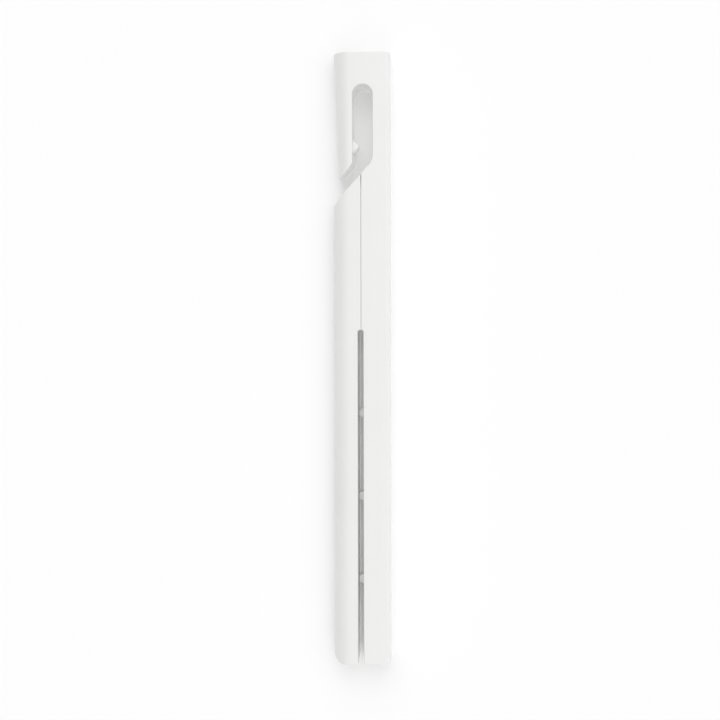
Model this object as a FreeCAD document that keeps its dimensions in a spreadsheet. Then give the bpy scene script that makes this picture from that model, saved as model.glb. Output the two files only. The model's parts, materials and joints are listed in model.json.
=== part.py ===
import FreeCAD, Part
import math
import os
import Sketcher

# A hanging clip bar, upright as it hangs.  X runs to the right seen from the front, and the
# flat back lies in Y = 0 with the front towards -Y.  The right half and the hooked head are
# one bar; the left half below the throat is a jaw that swings about a pin near its top.
# Every piece is drawn with its lower end at Z = 0 and the bar's centre line at X = 0, and
# then moved so that the origin is the centre of the hook's round seat at the back face.

Vector = FreeCAD.Vector
doc = FreeCAD.newDocument("ClipHanger")

SIZES = {
    # the whole bar
    "bar_length": 300,
    "bar_width": 28.2,
    "bar_depth": 15.2,
    "round_side_radius": 8.8,
    "square_side_radius": 2.2,
    "crown_radius": 160,
    "crown_offset": 2,
    "wall": 2,
    "cover_thickness": 2,
    "cover_gap": 0.1,
    "end_wall_extra": 0.5,
    "jaw_front_extra": 0.4,
    "jaw_deep_inset": 5.6,
    "jaw_shallow_depth": 8,
    "jaw_corner_radius": 6,
    # hook in the head, its heights taken from the top end
    "hook_slot_width": 9.8,
    "hook_slot_offset": 0.73,
    "hook_top_wall": 15.7,
    "head_length": 58.9,
    "throat_angle": 48.5,
    "throat_width": 6.2,
    "throat_bend_radius": 8,
    "beak_heel_radius": 3,
    "beak_tip_radius": 1.2,
    "beak_tip_inset": 2.8,
    "head_top_inset": 0.2,
    "head_hollow_reach": 4,
    "nib_drop": 45.4,
    "nib_rise": 3,
    "nib_length": 7,
    "nib_thickness": 9,
    "nib_tip_radius": 0.9,
    # seam and clamping slot between the two halves
    "seam_gap": 0.5,
    "clamp_gap": 2.8,
    "clamp_offset": 0.3,
    "clamp_length": 165,
    "bar_mouth_flare": 0.25,
    "jaw_mouth_flare": 0.1,
    "flare_length": 14,
    # teeth that cross the clamping slot
    "tooth_count": 3,
    "tooth_root": 5.6,
    "tooth_tip": 3.5,
    "tooth_depth": 4,
    "tooth_tip_gap": 0.15,
    "tooth_fit_gap": 0.05,
    "strip_thickness": 1.6,
    "strip_depth": 9,
    "strip_low_inset": 4,
    "strip_high_drop": 8,
    "grip_thickness": 0.8,
    "grip_margin": 1,
    # hinge of the jaw
    "pivot_drop": 70,
    "pin_radius": 1.5,
    "pin_recess": 0.2,
    "bush_wall": 0.56,
    "running_gap": 0.04,
    "ear_wall": 1.1,
    "ear_thickness": 3,
    "ear_clearance": 0.4,
    "ear_back_gap": 3.6,
    "hinge_plate_gap": 0.3,
    "hinge_plate_length": 31,
    "hinge_plate_shoulder": 2.8,
    "washer_thickness": 0.4,
    "washer_gap": 0.05,
    "washer_inset": 0.4,
    "wire_radius": 0.5,
    "coil_pin_gap": 0.3,
    "coil_turns": 3.25,
    "coil_pitch": 1.05,
    "coil_clearance": 0.4,
    "coil_ear_gap": 0.14,
    "coil_boss_gap": 0.15,
    "coil_front_room": 0.8,
    "pin_front_seat": 1.7,
    "jaw_leg_length": 16,
    "bar_leg_reach": 1.5,
    "leg_stop_rise": 1,
    "leg_stop_height": 3,
    "leg_stop_reach": 1.5,
    # strips of steel that keep both halves straight
    "bar_stiffener_thickness": 1.5,
    "bar_stiffener_depth": 9,
    "jaw_stiffener_thickness": 1.5,
    "jaw_stiffener_depth": 9,
    "stiffener_gap": 0.3,
    "stiffener_low_inset": 4,
    "stiffener_hook_drop": 22,
    # screws and the bosses they hold in
    "boss_radius": 2.3,
    "jaw_boss_radius": 2,
    "screw_radius": 1.1,
    "screw_head_radius": 1.9,
    "screw_head_depth": 1,
    "screw_length": 7,
    "screw_end_room": 1,
    "high_boss_rise": 12,
    "plate_boss_inset": 4,
    "plate_boss_pitch": 14,
    "jaw_boss_shift": 2.1,
    "boss_leg_gap": 0.5,
    # how far joined shapes run into each other, and how far a cut runs past a face
    "weld": 0.5,
    "shallow_weld": 0.1,
    "overcut": 1,
}


def fill_sheet(name, cells):
    sheet = doc.addObject("Spreadsheet::Sheet", name)
    for row, (alias, content) in enumerate(cells.items(), start=1):
        sheet.set(f"A{row}", alias)
        sheet.set(f"B{row}", str(content))
        sheet.setAlias(f"B{row}", alias)
    doc.recompute()
    return sheet


sizes = fill_sheet("Sizes", SIZES)

# Places that several pieces share, all worked out from the sizes.
PLACES = {
    "bar_left": "=-Sizes.bar_width / 2",
    "bar_right": "=Sizes.bar_width / 2",
    "far": "=Sizes.bar_width",
    "above": "=Sizes.bar_length + 10",
    "below": "=-10",
    "inner_depth": "=Sizes.bar_depth - Sizes.wall",
    "mid_depth": "=Sizes.bar_depth / 2",
    # the throat's lower face crosses the centre line at peak_z
    "peak_z": "=Sizes.bar_length - Sizes.head_length",
    "slope": "=tan(Sizes.throat_angle * 1 deg)",
    "rise": "=1 / cos(Sizes.throat_angle * 1 deg)",
    "slot_left": "=Sizes.hook_slot_offset - Sizes.hook_slot_width / 2",
    "slot_right": "=Sizes.hook_slot_offset + Sizes.hook_slot_width / 2",
    "arch_radius": "=Sizes.hook_slot_width / 2",
    "arch_z": "=Sizes.bar_length - Sizes.hook_top_wall - Sizes.hook_slot_width / 2",
    "throat_corner_z": "=peak_z + slot_right * slope",
    "heel_z": "=peak_z + slot_left * slope + Sizes.throat_width * rise",
    "tip_x": "=bar_left + Sizes.beak_tip_inset",
    "tip_z": "=peak_z + tip_x * slope + Sizes.throat_width * rise",
    "head_top_x": "=bar_left + Sizes.head_top_inset",
    "nib_z": "=Sizes.bar_length - Sizes.nib_drop",
    "nib_tip_x": "=slot_left + Sizes.nib_rise",
    "seam_left": "=-Sizes.seam_gap / 2",
    "seam_right": "=Sizes.seam_gap / 2",
    "clamp_radius": "=Sizes.clamp_gap / 2",
    "clamp_left": "=-Sizes.clamp_offset - clamp_radius",
    "clamp_right": "=-Sizes.clamp_offset + clamp_radius",
    "clamp_arch_z": "=Sizes.clamp_length - clamp_radius",
    "mouth_left": "=clamp_left - Sizes.jaw_mouth_flare",
    "mouth_right": "=clamp_right + Sizes.bar_mouth_flare",
    "tooth_pitch": "=Sizes.clamp_length / (Sizes.tooth_count + 1)",
    "tooth_back": "=mid_depth - Sizes.tooth_depth / 2",
    "tooth_front": "=mid_depth + Sizes.tooth_depth / 2",
    "tooth_tip_x": "=clamp_left + Sizes.tooth_tip_gap",
    "strip_low": "=hollow_low + Sizes.strip_low_inset",
    "strip_high": "=Sizes.clamp_length - Sizes.strip_high_drop",
    "grip_left": "=clamp_left - Sizes.grip_thickness",
    "grip_low": "=Sizes.flare_length + Sizes.strip_low_inset",
    "grip_back": "=tooth_back - Sizes.grip_margin",
    "grip_front": "=tooth_front + Sizes.grip_margin",
    # hollow of the hooked bar
    "hollow_left": "=clamp_right + Sizes.wall",
    "hollow_right": "=bar_right - Sizes.wall",
    "arm_left": "=slot_right + Sizes.wall",
    "hollow_top": "=Sizes.bar_length - Sizes.wall",
    "hollow_low": "=Sizes.wall + Sizes.end_wall_extra",
    "neck_right_z": "=throat_corner_z",
    "neck_left_z": "=throat_corner_z - 3 * Sizes.wall",
    "head_hollow_left": "=-Sizes.head_hollow_reach",
    "head_hollow_low": "=arch_z + arch_radius + Sizes.wall",
    # hollow of the jaw
    "jaw_hollow_left": "=bar_left + Sizes.wall",
    "jaw_hollow_right": "=clamp_left - Sizes.wall",
    "jaw_deep_left": "=bar_left + Sizes.jaw_deep_inset",
    "jaw_inner_depth": "=inner_depth - Sizes.jaw_front_extra",
    "jaw_top_drop": "=Sizes.wall * rise",
    "hollow_corner_radius": "=Sizes.jaw_corner_radius - Sizes.wall",
    # hinge
    "pivot_z": "=Sizes.bar_length - Sizes.pivot_drop",
    "ear_back": "=Sizes.ear_back_gap",
    "ear_front": "=Sizes.ear_back_gap + Sizes.ear_thickness",
    "bush_radius": "=Sizes.pin_radius + Sizes.running_gap + Sizes.bush_wall",
    "ear_radius": "=bush_radius + Sizes.ear_wall",
    "coil_radius": "=Sizes.pin_radius + Sizes.coil_pin_gap + Sizes.wire_radius",
    "channel_half": "=ear_radius + Sizes.ear_clearance",
    "channel_depth": "=ear_front + 2 * Sizes.wire_radius + Sizes.coil_front_room",
    "pivot_x": "=seam_left - channel_half",
    "bar_leg_depth": "=ear_front + Sizes.wire_radius + Sizes.coil_ear_gap",
    "bar_leg_end": "=hollow_left + Sizes.bar_leg_reach",
    "jaw_leg_x": "=pivot_x - coil_radius",
    "jaw_leg_depth": "=bar_leg_depth + Sizes.coil_turns * Sizes.coil_pitch",
    "jaw_leg_low": "=pivot_z - Sizes.jaw_leg_length",
    "leg_stop_low": "=jaw_leg_low + Sizes.leg_stop_rise",
    "pin_boss_depth": "=jaw_leg_depth + Sizes.wire_radius + Sizes.coil_boss_gap",
    "pin_front": "=pin_boss_depth + Sizes.pin_front_seat",
    "coil_bore": "=coil_radius + Sizes.wire_radius + Sizes.coil_clearance",
    "washer_front": "=ear_back - Sizes.washer_gap",
    "washer_back": "=washer_front - Sizes.washer_thickness",
    "plate_left": "=hollow_left + Sizes.hinge_plate_gap",
    "stiffener_left": "=hollow_right - Sizes.bar_stiffener_thickness",
    "plate_right": "=stiffener_left - Sizes.hinge_plate_gap",
    "plate_top": "=pivot_z + ear_radius + Sizes.hinge_plate_shoulder",
    "plate_low": "=plate_top - Sizes.hinge_plate_length",
    # bosses
    "boss_x": "=(hollow_left + hollow_right) / 2",
    "head_boss_x": "=(head_hollow_left + hollow_right) / 2",
    "head_boss_z": "=(head_hollow_low + hollow_top) / 2",
    "jaw_boss_x": "=(jaw_deep_left + jaw_hollow_right) / 2 - Sizes.jaw_boss_shift",
    "low_boss_z": "=tooth_pitch / 2",
    "middle_boss_z": "=low_boss_z + 2 * tooth_pitch",
    "high_boss_z": "=Sizes.clamp_length + Sizes.high_boss_rise",
    "jaw_top_boss_z": "=jaw_leg_low - Sizes.jaw_boss_radius - Sizes.boss_leg_gap",
    "lower_plate_boss_z": "=plate_low + Sizes.plate_boss_inset",
    "upper_plate_boss_z": "=lower_plate_boss_z + Sizes.plate_boss_pitch",
}
fill_sheet("Places", PLACES)

COVER_BOSSES = {
    "low": ("Places.boss_x", "Places.low_boss_z"),
    "middle": ("Places.boss_x", "Places.middle_boss_z"),
    "high": ("Places.boss_x", "Places.high_boss_z"),
    "neck": ("Places.boss_x", "Places.peak_z"),
    "head": ("Places.head_boss_x", "Places.head_boss_z"),
}
PLATE_BOSSES = {
    "lower": ("Places.boss_x", "Places.lower_plate_boss_z"),
    "upper": ("Places.boss_x", "Places.upper_plate_boss_z"),
}
JAW_BOSSES = {
    "low": ("Places.jaw_boss_x", "Places.low_boss_z"),
    "middle": ("Places.jaw_boss_x", "Places.middle_boss_z"),
    "high": ("Places.jaw_boss_x", "Places.high_boss_z"),
    "top": ("Places.jaw_boss_x", "Places.jaw_top_boss_z"),
}
TOOTH_NUMBERS = range(1, SIZES["tooth_count"] + 1)
PIVOT = [("Places.pivot_x", "Places.pivot_z")]


def value(expression):
    """The number that an expression on the sheets gives."""
    result = sizes.evalExpression(expression)
    return float(getattr(result, "Value", result))


def bind(thing, **expressions):
    for path, expression in expressions.items():
        thing.setExpression(path.replace("__", "."), expression)
    return thing


def new_body(label):
    body = doc.addObject("PartDesign::Body", label)
    body.Label = label
    return body


def new_sketch(body, role, height="0"):
    """A sketch on one of the body's own planes, lifted along the plane's normal."""
    sketch = body.newObject("Sketcher::SketchObject", f"{body.Name}_sketch")
    planes = [item for item in body.Origin.OriginFeatures if item.Role == role]
    sketch.AttachmentSupport = (planes[0], [""])
    sketch.MapMode = "FlatFace"
    sketch.setExpression("AttachmentOffset.Base.z", height)
    return sketch


def pin_point(sketch, geometry, point, x, y):
    """Hold a point of the sketch at the place that two expressions give."""
    across = sketch.addConstraint(
        Sketcher.Constraint("DistanceX", -1, 1, geometry, point, value(x)))
    sketch.setExpression(f"Constraints[{across}]", x)
    along = sketch.addConstraint(
        Sketcher.Constraint("DistanceY", -1, 1, geometry, point, value(y)))
    sketch.setExpression(f"Constraints[{along}]", y)


def set_radius(sketch, geometry, radius):
    held = sketch.addConstraint(Sketcher.Constraint("Radius", geometry, value(radius)))
    sketch.setExpression(f"Constraints[{held}]", radius)


def draw_circle(sketch, x, y, radius):
    circle = Part.Circle(Vector(value(x), value(y), 0), Vector(0, 0, 1), value(radius))
    geometry = sketch.addGeometry(circle, False)
    pin_point(sketch, geometry, 3, x, y)
    set_radius(sketch, geometry, radius)


def draw_outline(sketch, corners):
    """A closed outline of straight lines; a corner with a third value is rounded by it."""
    points = [Vector(value(corner[0]), value(corner[1]), 0) for corner in corners]
    count = len(points)
    entries = []
    for index, corner in enumerate(corners):
        here = points[index]
        if len(corner) == 2:
            entries.append((here, here, None))
            continue
        radius = value(corner[2])
        back = (points[index - 1] - here).normalize()
        ahead = (points[(index + 1) % count] - here).normalize()
        half = back.getAngle(ahead) / 2
        reach = radius / math.tan(half)
        centre = here + (back + ahead).normalize() * (radius / math.sin(half))
        start = here + back * reach
        end = here + ahead * reach
        middle = centre + (here - centre).normalize() * radius
        entries.append((start, end, Part.Arc(start, middle, end)))
    lines = []
    for index in range(count):
        line = Part.LineSegment(entries[index][1], entries[(index + 1) % count][0])
        lines.append(sketch.addGeometry(line, False))
    for index, corner in enumerate(corners):
        before = lines[index - 1]
        after = lines[index]
        if len(corner) == 2:
            sketch.addConstraint(Sketcher.Constraint("Coincident", before, 2, after, 1))
            pin_point(sketch, after, 1, corner[0], corner[1])
            continue
        arc_curve = entries[index][2]
        arc = sketch.addGeometry(arc_curve, False)
        starts_first = sketch.getPoint(arc, 1).isEqual(entries[index][0], 1e-6)
        first, last = (1, 2) if starts_first else (2, 1)
        sketch.addConstraint(Sketcher.Constraint("Tangent", before, 2, arc, first))
        sketch.addConstraint(Sketcher.Constraint("Tangent", arc, last, after, 1))
        vertex = sketch.addGeometry(Part.Point(points[index]), True)
        pin_point(sketch, vertex, 1, corner[0], corner[1])
        sketch.addConstraint(Sketcher.Constraint("PointOnObject", vertex, 1, before))
        sketch.addConstraint(Sketcher.Constraint("PointOnObject", vertex, 1, after))
        set_radius(sketch, arc, corner[2])


def rectangle(left, right, low, high):
    return [(left, low), (right, low), (right, high), (left, high)]


def pad(body, sketch, length):
    """Thicken a sketch along its plane's normal; drawings face the front of the bar."""
    feature = body.newObject("PartDesign::Pad", f"{body.Name}_pad")
    feature.Profile = sketch
    feature.setExpression("Length", length)
    doc.recompute()
    return feature


def pocket(body, sketch, depth=None):
    """Cut a sketch away along its plane's normal to a depth, or right through."""
    before = body.Shape.Volume
    feature = body.newObject("PartDesign::Pocket", f"{body.Name}_pocket")
    feature.Profile = sketch
    if depth is None:
        feature.Type = "ThroughAll"
        feature.Midplane = True
    else:
        feature.Reversed = True
        feature.setExpression("Length", depth)
    doc.recompute()
    if body.Shape.Volume > before - 0.01:
        raise RuntimeError(f"{feature.Name} cuts nothing")
    return feature


def pad_outline(body, corners, depth_from, depth_to):
    """Add material inside an outline of the front view, between two depths from the back."""
    sketch = new_sketch(body, "XZ_Plane", depth_from)
    draw_outline(sketch, corners)
    return pad(body, sketch, f"({depth_to}) - ({depth_from})")


def cut_outline(body, corners, depth=None):
    sketch = new_sketch(body, "XZ_Plane")
    draw_outline(sketch, corners)
    return pocket(body, sketch, depth)


def pad_discs(body, spots, radius, depth_from, depth_to):
    sketch = new_sketch(body, "XZ_Plane", depth_from)
    for x, z in spots:
        draw_circle(sketch, x, z, radius)
    return pad(body, sketch, f"({depth_to}) - ({depth_from})")


def cut_discs(body, spots, radius, depth=None):
    sketch = new_sketch(body, "XZ_Plane")
    for x, z in spots:
        draw_circle(sketch, x, z, radius)
    return pocket(body, sketch, depth)


def bar_section(body):
    """The full cross-section: flat back, deep round left corner, small right one, crowned front."""
    sketch = new_sketch(body, "XY_Plane")
    left = value("Places.bar_left")
    right = value("Places.bar_right")
    crown = value("Sizes.crown_radius")
    crest = Vector(value("Sizes.crown_offset"), crown - value("Sizes.bar_depth"), 0)
    small = value("Sizes.square_side_radius")
    large = value("Sizes.round_side_radius")

    def corner_centre(x, radius):
        return Vector(x, crest.y - math.sqrt((crown - radius) ** 2 - (x - crest.x) ** 2), 0)

    def on_crown(centre):
        return crest + (centre - crest).normalize() * crown

    right_centre = corner_centre(right - small, small)
    left_centre = corner_centre(left + large, large)
    right_front = on_crown(right_centre)
    left_front = on_crown(left_centre)
    crown_point = Vector(crest.x, crest.y - crown, 0)
    right_side = Vector(right, right_centre.y, 0)
    left_side = Vector(left, left_centre.y, 0)
    diagonal = math.sqrt(0.5)
    right_middle = right_centre + Vector(diagonal, -diagonal, 0) * small
    left_middle = left_centre + Vector(-diagonal, -diagonal, 0) * large
    curves = [
        Part.LineSegment(Vector(left, 0, 0), Vector(right, 0, 0)),
        Part.LineSegment(Vector(right, 0, 0), right_side),
        Part.Arc(right_side, right_middle, right_front),
        Part.Arc(right_front, crown_point, left_front),
        Part.Arc(left_front, left_middle, left_side),
        Part.LineSegment(left_side, Vector(left, 0, 0)),
    ]
    back, right_line, right_arc, crown_arc, left_arc, left_line = sketch.addGeometry(curves, False)

    def end_at(geometry, spot):
        return 1 if sketch.getPoint(geometry, 1).isEqual(spot, 1e-6) else 2

    sketch.addConstraint(Sketcher.Constraint("Coincident", back, 2, right_line, 1))
    sketch.addConstraint(Sketcher.Constraint("Coincident", left_line, 2, back, 1))
    pin_point(sketch, back, 1, "Places.bar_left", "0")
    pin_point(sketch, back, 2, "Places.bar_right", "0")
    for first, second, spot in (
        (right_line, right_arc, right_side),
        (right_arc, crown_arc, right_front),
        (crown_arc, left_arc, left_front),
        (left_arc, left_line, left_side),
    ):
        sketch.addConstraint(Sketcher.Constraint(
            "Tangent", first, end_at(first, spot), second, end_at(second, spot)))
    sketch.addConstraint(Sketcher.Constraint("Vertical", right_line))
    sketch.addConstraint(Sketcher.Constraint("Vertical", left_line))
    set_radius(sketch, right_arc, "Sizes.square_side_radius")
    set_radius(sketch, left_arc, "Sizes.round_side_radius")
    set_radius(sketch, crown_arc, "Sizes.crown_radius")
    pin_point(sketch, crown_arc, 3, "Sizes.crown_offset", "Sizes.crown_radius - Sizes.bar_depth")
    return pad(body, sketch, "Sizes.bar_length")


def diagonal_z(x, drop="0"):
    """Height of the throat's lower face at x, or of a line that far under it."""
    return f"Places.peak_z + ({x}) * Places.slope - ({drop})"


def hook_opening():
    """Everything left of the hooked bar: hook slot, throat, the jaw's place and the slots."""
    head_x = "Places.head_top_x"
    return [
        ("Places.slot_left", "Places.arch_z"),
        ("Places.slot_right", "Places.arch_z"),
        ("Places.slot_right", "Places.throat_corner_z", "Sizes.throat_bend_radius"),
        ("Places.seam_right", diagonal_z("Places.seam_right")),
        ("Places.seam_right", "Places.clamp_arch_z"),
        ("Places.clamp_right", "Places.clamp_arch_z"),
        ("Places.clamp_right", "Sizes.flare_length"),
        ("Places.mouth_right", "Places.below"),
        ("-Places.far", "Places.below"),
        ("-Places.far", "Places.above"),
        (head_x, "Places.above"),
        ("Places.tip_x", "Places.tip_z", "Sizes.beak_tip_radius"),
        ("Places.slot_left", "Places.heel_z", "Sizes.beak_heel_radius"),
    ]


def jaw_surroundings():
    """Everything outside the jaw: above its slanted top and right of the seam and slot."""
    return [
        ("-Places.far", "Places.above"),
        ("Places.far", "Places.above"),
        ("Places.far", "Places.below"),
        ("Places.mouth_left", "Places.below"),
        ("Places.clamp_left", "Sizes.flare_length"),
        ("Places.clamp_left", "Places.clamp_arch_z"),
        ("Places.seam_left", "Places.clamp_arch_z"),
        ("Places.seam_left", diagonal_z("Places.seam_left")),
        ("-Places.far", diagonal_z("-Places.far")),
    ]


def jaw_corner():
    """Everything outside the rounded lower left corner of the jaw."""
    reach = "2 * Sizes.jaw_corner_radius"
    return [
        ("-Places.far", "Places.below"),
        (f"Places.bar_left + {reach}", "Places.below"),
        (f"Places.bar_left + {reach}", "0"),
        ("Places.bar_left", "0", "Sizes.jaw_corner_radius"),
        ("Places.bar_left", reach),
        ("-Places.far", reach),
    ]


def bar_hollow(gap="0"):
    """Outline of the hooked bar's hollow, or of the cover that fits it with a gap."""
    left = f"Places.hollow_left + {gap}"
    right = f"Places.hollow_right - {gap}"
    arm = f"Places.arm_left + {gap}"
    return [
        (left, f"Places.hollow_low + {gap}"),
        (right, f"Places.hollow_low + {gap}"),
        (right, f"Places.hollow_top - {gap}"),
        (f"Places.head_hollow_left + {gap}", f"Places.hollow_top - {gap}"),
        (f"Places.head_hollow_left + {gap}", f"Places.head_hollow_low + {gap}"),
        (arm, f"Places.head_hollow_low + {gap}"),
        (arm, f"Places.neck_right_z - {gap}"),
        (left, f"Places.neck_left_z - {gap}"),
    ]


def jaw_hollow(left, gap="0"):
    """Outline of the jaw's hollow from a left edge; its top runs parallel to the throat."""
    right = f"Places.jaw_hollow_right - {gap}"
    drop = f"Places.jaw_top_drop + {gap}"
    return [
        (f"{left} + {gap}", f"Places.hollow_low + {gap}", f"Places.hollow_corner_radius - {gap}"),
        (right, f"Places.hollow_low + {gap}"),
        (right, diagonal_z(right, drop)),
        (f"{left} + {gap}", diagonal_z(f"{left} + {gap}", drop)),
    ]


def channel(left, right, gap="0"):
    """Outline of the passage that the hinge ear lies in, through the walls at the seam."""
    return rectangle(left, right, f"Places.pivot_z - Places.channel_half + {gap}",
                     f"Places.pivot_z + Places.channel_half - {gap}")


def tooth_outline(number):
    centre = f"Places.tooth_pitch * {number}"
    return [
        ("Places.hollow_left + Sizes.weld", f"{centre} - Sizes.tooth_root / 2"),
        ("Places.hollow_left + Sizes.weld", f"{centre} + Sizes.tooth_root / 2"),
        ("Places.clamp_right", f"{centre} + Sizes.tooth_root / 2"),
        ("Places.tooth_tip_x", f"{centre} + Sizes.tooth_tip / 2"),
        ("Places.tooth_tip_x", f"{centre} - Sizes.tooth_tip / 2"),
        ("Places.clamp_right", f"{centre} - Sizes.tooth_root / 2"),
    ]


def hooked_shell():
    """Front shell of the hooked bar: the head with its hook, beak and nib, and the right half."""
    body = new_body("hook_bar_shell")
    bar_section(body)
    cut_outline(body, hook_opening())
    cut_discs(body, [("Sizes.hook_slot_offset", "Places.arch_z")], "Places.arch_radius")
    cut_discs(body, [("-Sizes.clamp_offset", "Places.clamp_arch_z")], "Places.clamp_radius")
    cut_outline(body, bar_hollow(), "Places.inner_depth")
    cut_outline(body, channel("Places.seam_right - Sizes.overcut",
                              "Places.hollow_left + Sizes.overcut"), "Places.channel_depth")
    for number in TOOTH_NUMBERS:
        centre = f"Places.tooth_pitch * {number}"
        half = "(Sizes.tooth_root / 2 + Sizes.tooth_fit_gap)"
        sketch = new_sketch(body, "XZ_Plane", "Places.tooth_back - Sizes.tooth_fit_gap")
        draw_outline(sketch, rectangle("Places.clamp_right - Sizes.overcut",
                                       "Places.hollow_left + Sizes.overcut",
                                       f"{centre} - {half}", f"{centre} + {half}"))
        pocket(body, sketch, "Sizes.tooth_depth + 2 * Sizes.tooth_fit_gap")
    pad_discs(body, COVER_BOSSES.values(), "Sizes.boss_radius",
              "Sizes.cover_thickness", "Places.inner_depth + Sizes.weld")
    pad_discs(body, PLATE_BOSSES.values(), "Sizes.boss_radius",
              "Places.ear_front", "Places.inner_depth + Sizes.weld")
    cut_discs(body, COVER_BOSSES.values(), "Sizes.screw_radius",
              "Sizes.screw_length + Sizes.screw_end_room")
    cut_discs(body, PLATE_BOSSES.values(), "Sizes.screw_radius",
              "Places.ear_back + Sizes.screw_length + Sizes.screw_end_room")
    root = "Places.slot_left - Sizes.weld"
    pad_outline(body, [
        (root, "Places.nib_z + Sizes.nib_length / 2"),
        ("Places.nib_tip_x", "Places.nib_z", "Sizes.nib_tip_radius"),
        (root, "Places.nib_z - Sizes.nib_length / 2"),
    ], "Places.mid_depth - Sizes.nib_thickness / 2", "Places.mid_depth + Sizes.nib_thickness / 2")
    return body


def hooked_cover():
    """Flat plate that closes the hooked bar's hollow at the back, flush with it."""
    body = new_body("hook_bar_cover")
    gap = "Sizes.cover_gap"
    pad_outline(body, bar_hollow(gap), "0", "Sizes.cover_thickness")
    pad_outline(body, channel("Places.seam_right", "Places.hollow_left + Sizes.overcut", gap),
                "0", "Sizes.cover_thickness")
    countersink(body, COVER_BOSSES.values())
    return body


def countersink(body, spots):
    """Holes for flush screws: a straight hole and a wider seat of the head's depth."""
    cut_discs(body, spots, "Sizes.screw_radius + Sizes.cover_gap")
    cut_discs(body, spots, "Sizes.screw_head_radius + Sizes.cover_gap", "Sizes.screw_head_depth")


def tooth_strip():
    """Strip behind the slot's right wall whose three teeth come through it."""
    body = new_body("tooth_strip")
    pad_outline(body, rectangle(
        "Places.hollow_left", "Places.hollow_left + Sizes.strip_thickness",
        "Places.strip_low", "Places.strip_high"),
        "Places.mid_depth - Sizes.strip_depth / 2", "Places.mid_depth + Sizes.strip_depth / 2")
    for number in TOOTH_NUMBERS:
        pad_outline(body, tooth_outline(number), "Places.tooth_back", "Places.tooth_front")
    return body


def jaw_shell():
    """Front shell of the jaw: left side deeply rounded, top slanted, lower corner round."""
    body = new_body("jaw_shell")
    bar_section(body)
    cut_outline(body, jaw_surroundings())
    cut_outline(body, jaw_corner())
    cut_discs(body, [("-Sizes.clamp_offset", "Places.clamp_arch_z")], "Places.clamp_radius")
    cut_outline(body, jaw_hollow("Places.jaw_hollow_left"), "Sizes.jaw_shallow_depth")
    cut_outline(body, jaw_hollow("Places.jaw_deep_left"), "Places.jaw_inner_depth")
    cut_outline(body, channel("Places.pivot_x", "Places.seam_left + Sizes.overcut"),
                "Places.channel_depth")
    cut_discs(body, PIVOT, "Places.channel_half", "Places.channel_depth")
    cut_discs(body, PIVOT, "Places.coil_bore", "Places.pin_boss_depth")
    pad_discs(body, PIVOT, "Places.coil_bore - Sizes.weld", "Places.pin_boss_depth",
              "Places.jaw_inner_depth + Sizes.weld")
    cut_discs(body, PIVOT, "Sizes.pin_radius", "Places.pin_front")
    boss_front = "Places.jaw_inner_depth + Sizes.shallow_weld"
    pad_discs(body, JAW_BOSSES.values(), "Sizes.jaw_boss_radius",
              "Sizes.cover_thickness", boss_front)
    cut_discs(body, JAW_BOSSES.values(), "Sizes.screw_radius",
              "Sizes.screw_length + Sizes.screw_end_room")
    pad_outline(body, rectangle("Places.jaw_leg_x + Sizes.wire_radius",
                                "Places.jaw_hollow_right + Sizes.weld", "Places.leg_stop_low",
                                "Places.leg_stop_low + Sizes.leg_stop_height"),
                "Places.jaw_leg_depth - Sizes.leg_stop_reach", boss_front)
    sketch = new_sketch(body, "XZ_Plane", "Places.grip_back")
    draw_outline(sketch, rectangle("Places.grip_left", "Places.clamp_left + Sizes.overcut",
                                   "Places.grip_low", "Places.strip_high"))
    pocket(body, sketch, "Places.grip_front - Places.grip_back")
    return body


def jaw_cover():
    """Flat plate that closes the jaw's hollow and holds the rear end of the pivot pin."""
    body = new_body("jaw_cover")
    gap = "Sizes.cover_gap"
    thickness = "Sizes.cover_thickness"
    pad_outline(body, jaw_hollow("Places.jaw_hollow_left", gap), "0", thickness)
    pad_outline(body, channel("Places.pivot_x", "Places.seam_left", gap), "0", thickness)
    pad_discs(body, PIVOT, f"Places.channel_half - {gap}", "0", thickness)
    pad_discs(body, PIVOT, "Places.bush_radius", thickness,
              "Places.washer_back - Sizes.washer_gap")
    cut_discs(body, PIVOT, "Sizes.pin_radius")
    countersink(body, JAW_BOSSES.values())
    return body


def grip_strip():
    """Soft strip set flush in the jaw's slot wall, where the teeth press."""
    body = new_body("grip_strip")
    pad_outline(body, rectangle("Places.grip_left", "Places.clamp_left",
                                "Places.grip_low", "Places.strip_high"),
                "Places.grip_back", "Places.grip_front")
    return body


def hinge_plate():
    """Steel plate screwed into the hooked bar, with the ear that the jaw turns on."""
    body = new_body("hinge_plate")
    layers = ("Places.ear_back", "Places.ear_front")
    pad_outline(body, rectangle("Places.plate_left", "Places.plate_right",
                                "Places.plate_low", "Places.plate_top"), *layers)
    pad_outline(body, rectangle("Places.pivot_x", "Places.plate_left + Sizes.overcut",
                                "Places.pivot_z - Places.ear_radius",
                                "Places.pivot_z + Places.ear_radius"), *layers)
    pad_discs(body, PIVOT, "Places.ear_radius", *layers)
    cut_discs(body, PIVOT, "Places.bush_radius")
    cut_discs(body, PLATE_BOSSES.values(), "Sizes.screw_radius + Sizes.cover_gap")
    return body


def stiffener(label, left, thickness, depth, high):
    """A flat steel strip standing on edge inside one half of the bar."""
    body = new_body(label)
    back = "Sizes.cover_thickness + Sizes.stiffener_gap"
    low = "Places.hollow_low + Sizes.stiffener_low_inset"
    pad_outline(body, rectangle(left, f"{left} + {thickness}", low, high),
                back, f"{back} + {depth}")
    return body


def turned(name, radius, back, front, x, z):
    """A cylinder along Y between two depths from the back."""
    solid = doc.addObject("Part::Cylinder", name)
    solid.Placement.Rotation = FreeCAD.Rotation(Vector(1, 0, 0), 90)
    bind(solid, Radius=radius, Height=f"({front}) - ({back})", Placement__Base__x=x,
         Placement__Base__y=f"-({back})", Placement__Base__z=z)
    return solid


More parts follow.
